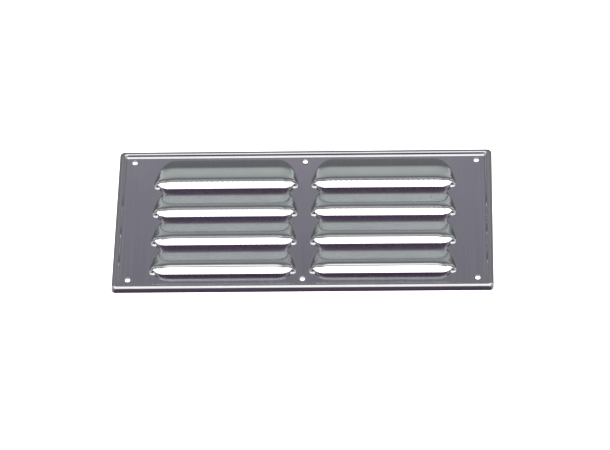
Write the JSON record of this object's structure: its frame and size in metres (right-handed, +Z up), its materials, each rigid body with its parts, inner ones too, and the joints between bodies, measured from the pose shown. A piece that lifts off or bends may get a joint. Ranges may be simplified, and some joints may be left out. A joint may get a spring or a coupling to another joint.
{
  "type": "louvred air grille",
  "caption": "Rectangular pressed stainless steel air grille with hooded louvres, a raised rim, six screw holes and an insect screen behind.",
  "frame": {"origin": "centre of the plate's rear seat, on the plane of the wall it is fixed to", "axes": "+X to the right seen from the front, +Z up, -Y out of the wall towards the viewer; the hoods open towards -Z"},
  "size_m": [0.232, 0.0095, 0.115],
  "materials": {
    "polished_plate": "mirror-polished stainless steel",
    "screen_wire": "bright drawn stainless wire",
    "strip_steel": "mill-finish stainless strip with spot-weld marks"
  },
  "bodies": {
    "root": {"louvre_plate": "polished_plate", "screen_upright_wires": "screen_wire", "screen_level_wires": "screen_wire", "screen_strip_left": "strip_steel", "screen_strip_right": "strip_steel", "screen_strip_top_left": "strip_steel", "screen_strip_top_right": "strip_steel", "screen_strip_bottom_left": "strip_steel", "screen_strip_bottom_right": "strip_steel"}
  },
  "joints": []
}
